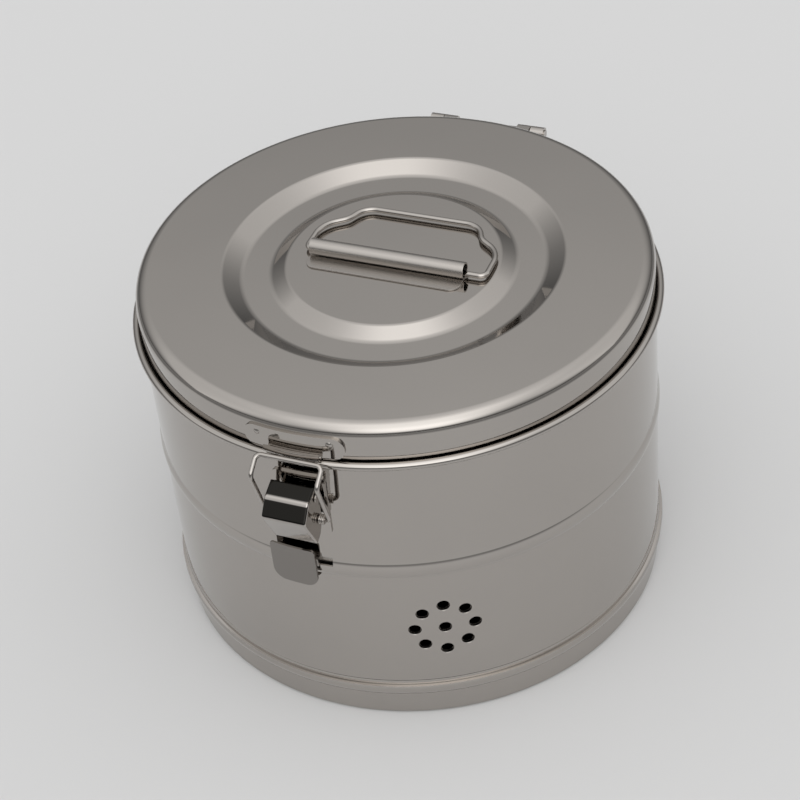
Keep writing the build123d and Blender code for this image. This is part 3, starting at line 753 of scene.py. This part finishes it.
class DRUM_OT_latch(bpy.types.Operator):
    """Fold the latch's lever and bend its bail"""
    bl_idname = "drum.latch"
    bl_label = "Latch"

    def execute(self, context):
        f, look = context.scene.drum_fittings, context.scene.drum_finish

        def spot(x, out, up):
            return Vector((x, -f.pivot_radius - out, f.pivot_height + up))

        half = f.lever_half
        bm, tip = pen(spot(-half, *LEVER_ROOF[0]))
        rounded_line(bm, tip, [spot(-half, *p) for p in LEVER_ROOF[1:]], (f.lever_bend, f.lever_bend))
        tip = min(bm.verts, key=lambda v: v.co.z)
        for p in LEVER_BACK + LEVER_ROOF[:1]:
            tip = run(bm, tip, spot(-half, *p))
        bmesh.ops.remove_doubles(bm, verts=bm.verts, dist=SAME_POINT)
        cheek = bmesh.ops.contextual_create(bm, geom=bm.edges[:])["faces"]
        new = bmesh.ops.extrude_face_region(bm, geom=cheek)["geom"]
        bmesh.ops.translate(bm, verts=[g for g in new if isinstance(g, bmesh.types.BMVert)],
                            vec=(2 * half, 0, 0))
        bmesh.ops.recalc_face_normals(bm, faces=bm.faces)
        marks = [spot(0, *p) for p in LEVER_ROOF[-1:] + LEVER_BACK + LEVER_ROOF[:1]]
        middles = [(a + b) / 2 for a, b in zip(marks, marks[1:])]
        back = [face for face in bm.faces
                if any((face.calc_center_median() - m).length < 1e-5 for m in middles)]
        bmesh.ops.delete(bm, geom=back, context="FACES")
        folds = [e for e in bm.edges if len(e.link_faces) == 2 and e.calc_face_angle() > radians(60)]
        bmesh.ops.bevel(bm, geom=folds, offset=f.lever_fold, offset_type="OFFSET", affect="EDGES",
                        segments=5, profile=0.5, material=-1)
        thicken(bm, f.lever_sheet)
        pins = []
        for out, up, radius in ((0, 0, f.pin_radius), (*BAIL_HOLE, f.bail_wire / 2)):
            pin = bmesh.new()
            where = Matrix.Translation(spot(0, out, up)) @ Matrix.Rotation(pi / 2, 4, "Y")
            bmesh.ops.create_cone(pin, cap_ends=True, segments=32, radius1=radius + f.running_fit,
                                  radius2=radius + f.running_fit, depth=0.05, matrix=where)
            pins.append(pin)
        bm = combined(bm, pins, "DIFFERENCE")
        soften(bm, FINE_EDGE, sharper=60)
        # the lever's upper faces get painted shade, left off along the bend
        finished(bm, "lever", "lever", ["latch_lever"],
                 painted_roof_shade(steel("lever steel", look.steel, look.polish), look.roof_shade_colour, f))
        x = f.bail_half
        corners = [(BAIL_GAP, *BAIL_END), (x, *BAIL_END), (x, *BAIL_KNEE), (x, *BAIL_BAR),
                   (-x, *BAIL_BAR), (-x, *BAIL_KNEE), (-x, *BAIL_END), (-BAIL_GAP, *BAIL_END)]
        wire = bent_wire(corners, BAIL_BENDS, f.bail_wire)
        finished(wire, "bail", "bail", ["latch_bail"],
                 steel("bail steel", look.steel, look.polish))
        return {"FINISHED"}


class DRUM_OT_grip(bpy.types.Operator):
    """Bend the grip plate of the shutter"""
    bl_idname = "drum.grip"
    bl_label = "Shutter grip"

    def execute(self, context):
        s, v, look = context.scene.drum_body, context.scene.drum_vents, context.scene.drum_finish
        turn = v.grip_along / s.wall_radius
        w, h = v.grip_width / 2, v.grip_tall / 2
        front = -v.grip_inner - PAST
        outline = prism([(-w, front, v.grip_height - h), (w, front, v.grip_height - h),
                         (w, front, v.grip_height + h), (-w, front, v.grip_height + h)],
                        (v.grip_low_corner, v.grip_low_corner, v.grip_top_corner, v.grip_top_corner),
                        (0, 2 * PAST, 0))
        bmesh.ops.rotate(outline, verts=outline.verts, cent=(0, 0, 0), matrix=Matrix.Rotation(turn, 3, "Z"))
        outer = v.grip_inner + v.grip_sheet
        bm = bent_plate(outline, 1.3 * w / outer, turn, v.grip_inner, outer,
                        v.grip_height - h - SPARE, v.grip_height + h + SPARE)
        soften(bm, FINE_EDGE, sharper=60)
        finished(bm, "grip", "shutter", ["shutter_grip"],
                 steel("grip steel", look.steel_dark, look.polish))
        return {"FINISHED"}


class DRUM_OT_small_parts(bpy.types.Operator):
    """Give the rivets, pins, bushes, hinge leaves, latch base and shutter ring their finish"""
    bl_idname = "drum.small_parts"
    bl_label = "Small parts"

    def execute(self, context):
        look = context.scene.drum_finish
        plain = steel("fitting steel", look.steel, look.polish)
        inner = steel("ring steel", look.steel_dull, look.satin, True)
        for name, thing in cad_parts.items():
            finish = inner if name in ("shutter_ring", "grip_neck") else plain
            for slot in thing.material_slots:
                slot.material = finish
        return {"FINISHED"}


VIEW_TURN = radians(25)         # the camera stands this far round from the latch
FLOOR_DROP = 0.0002             # the floor lies this much under the foot
FLOOR_RADIUS = 30.0
NEAR_ZONE = (0.45, 0.66)        # half width and half depth of the pale floor round the drum, a painted pool of light
NEAR_BEHIND = 0.3               # how far the pale floor's middle lies behind the drum
FAR_FROM = 1.6                  # the painted fall-off reaches the dark far floor here, in sizes of the near one
ASIDE = (0.1, 0.7)              # where the light of the middle plane gives way to that of the sides
CAMERA_RIGHT = Vector((0.9295, 0.3587, -0.0861))
CAMERA_UP = Vector((-0.1734, 0.6308, 0.7564))
CAMERA_AT = (0.3222, -0.6909, 0.7409)

# degrees from the front horizon over the top to the back, and the brightness there
BRIGHTEST = 2.3
MIDDLE_LIGHT = ((0, 0.05), (8, 0.3), (18, 1.8), (31, 2.3), (43, 2.2), (55, 1.95), (79, 1.8), (91, 1.4),
                (103, 1.1), (127, 0.88), (139, 0.68), (152, 0.42), (180, 0.12))
SIDE_LIGHT = ((0, 0.07), (10, 0.22), (27, 0.6), (38, 0.85), (60, 1.0), (90, 0.92), (130, 0.84), (145, 0.56),
              (160, 0.32), (180, 0.12))


class DRUM_OT_studio(bpy.types.Operator):
    """Set up the floor, the lights and the camera"""
    bl_idname = "drum.studio"
    bl_label = "Studio"

    def execute(self, context):
        studio, scene = context.scene.drum_studio, context.scene
        bm = bmesh.new()
        bmesh.ops.create_circle(bm, cap_ends=True, segments=128, radius=FLOOR_RADIUS)
        bmesh.ops.translate(bm, verts=bm.verts, vec=-FLOOR_DROP * UP)
        mesh = bpy.data.meshes.new("floor")
        bm.to_mesh(mesh)
        bm.free()
        floor = bpy.data.objects.new("floor", mesh)
        scene.collection.objects.link(floor)
        mesh.materials.append(self.painted_light_pool(studio))
        self.sky(scene, studio)
        camera = bpy.data.cameras.new("camera")
        camera.lens, camera.sensor_width = studio.lens, 36.0
        camera.clip_start, camera.clip_end = 0.05, 100.0
        holder = bpy.data.objects.new("camera", camera)
        back = CAMERA_RIGHT.cross(CAMERA_UP)
        pose = Matrix((CAMERA_RIGHT, CAMERA_UP, back)).transposed().to_4x4()
        pose.translation = CAMERA_AT
        holder.matrix_world = pose
        scene.collection.objects.link(holder)
        scene.camera = holder
        scene.view_settings.view_transform = "Standard"
        return {"FINISHED"}

    # The floor's colour fades from pale round the drum to dark farther out: a painted pool of light.
    def painted_light_pool(self, studio):
        mat = bpy.data.materials.new("floor paint")
        mat.use_nodes = True
        tree = mat.node_tree
        shader = tree.nodes["Principled BSDF"]
        shader.inputs["Roughness"].default_value = 0.7
        where = node(tree, "TexCoord").outputs["Object"]
        turned = node(tree, "Mapping", {"Vector": where, "Rotation": (0, 0, -VIEW_TURN)})
        wide, deep = NEAR_ZONE
        centred = node(tree, "Mapping", {"Vector": turned.outputs[0], "Location": (0, -NEAR_BEHIND / deep, 0),
                                         "Scale": (1 / wide, 1 / deep, 1)})
        reach = node(tree, "VectorMath", {0: centred.outputs[0]}, operation="LENGTH").outputs["Value"]
        far = node(tree, "MapRange", {"Value": reach, "From Min": 1.0, "From Max": FAR_FROM},
                   interpolation_type="SMOOTHSTEP")
        mixed = node(tree, "Mix", data_type="RGBA")
        tree.links.new(far.outputs[0], mixed.inputs[0])
        mixed.inputs[6].default_value = (*studio.floor, 1)
        mixed.inputs[7].default_value = (*studio.floor_far_shade, 1)
        tree.links.new(mixed.outputs[2], shader.inputs["Base Color"])
        return mat

    def sky(self, scene, studio):
        world = bpy.data.worlds.new("studio")
        world.use_nodes = True
        scene.world = world
        tree = world.node_tree
        way = node(tree, "TexCoord").outputs["Generated"]
        turned = node(tree, "Mapping", {"Vector": way, "Rotation": (0, 0, -VIEW_TURN)}).outputs[0]
        split = node(tree, "SeparateXYZ", {0: turned})
        ahead = node(tree, "Math", {0: split.outputs[1], 1: -1.0}, operation="MULTIPLY").outputs[0]
        above = node(tree, "Math", {0: split.outputs[2]}, operation="ABSOLUTE").outputs[0]
        climb = node(tree, "Math", {0: above, 1: ahead}, operation="ARCTAN2").outputs[0]
        along = node(tree, "Math", {0: climb, 1: pi}, operation="DIVIDE").outputs[0]
        aside = node(tree, "Math", {0: split.outputs[0]}, operation="ABSOLUTE").outputs[0]
        side = node(tree, "MapRange", {"Value": aside, "From Min": ASIDE[0], "From Max": ASIDE[1]},
                    interpolation_type="SMOOTHSTEP").outputs[0]
        ramps = [self.ramp(tree, along, stops).outputs[0] for stops in (MIDDLE_LIGHT, SIDE_LIGHT)]
        light = node(tree, "Mix", {0: side, 2: ramps[0], 3: ramps[1]}, data_type="FLOAT").outputs[0]
        level = node(tree, "Math", {0: light, 1: BRIGHTEST * studio.dome}, operation="MULTIPLY").outputs[0]
        tree.links.new(level, tree.nodes["Background"].inputs["Strength"])
        tree.nodes["Background"].inputs["Color"].default_value = (1, 1, 1, 1)

    def ramp(self, tree, along, stops):
        """Brightness of the studio from the front horizon over the top to the back horizon."""
        new = node(tree, "ValToRGB", {0: along})
        marks = new.color_ramp.elements
        for degrees, light in stops:
            ends = {0: marks[0], 180: marks[-1]}
            stop = ends.get(degrees) or marks.new(degrees / 180)
            stop.color = [light / BRIGHTEST] * 3 + [1]
        return new


class DRUM_PT_panel(bpy.types.Panel):
    """Buttons that build the drum"""
    bl_idname = "DRUM_PT_panel"
    bl_label = "Sterilization drum"
    bl_space_type = "VIEW_3D"
    bl_region_type = "UI"
    bl_category = "Drum"

    def draw(self, context):
        for step in STEPS:
            self.layout.operator(step.bl_idname)
        for group in GROUPS:
            box = self.layout.box()
            sizes = getattr(context.scene, group)
            for name in sizes.bl_rna.properties.keys():
                if name not in ("rna_type", "name"):
                    box.prop(sizes, name)


GROUPS = {
    "drum_body": DrumBodySizes,
    "drum_vents": DrumVentSizes,
    "drum_lid": DrumLidSizes,
    "drum_fittings": DrumFittingSizes,
    "drum_finish": DrumFinish,
    "drum_studio": DrumStudio,
}
STEPS = (DRUM_OT_small_parts, DRUM_OT_shell, DRUM_OT_foot, DRUM_OT_lid, DRUM_OT_handle, DRUM_OT_keeper,
         DRUM_OT_latch, DRUM_OT_grip, DRUM_OT_studio)


def register():
    for kind in (*GROUPS.values(), *STEPS, DRUM_PT_panel):
        bpy.utils.register_class(kind)
    for name, kind in GROUPS.items():
        setattr(bpy.types.Scene, name, PointerProperty(type=kind))


def unregister():
    for name in GROUPS:
        delattr(bpy.types.Scene, name)
    for kind in (DRUM_PT_panel, *reversed(STEPS), *reversed(GROUPS.values())):
        bpy.utils.unregister_class(kind)


def main():
    register()
    bpy.ops.drum.small_parts()
    bpy.ops.drum.shell()
    bpy.ops.drum.foot()
    bpy.ops.drum.lid()
    bpy.ops.drum.handle()
    bpy.ops.drum.keeper()
    bpy.ops.drum.latch()
    bpy.ops.drum.grip()
    bpy.ops.drum.studio()


if __name__ == "__main__":
    main()
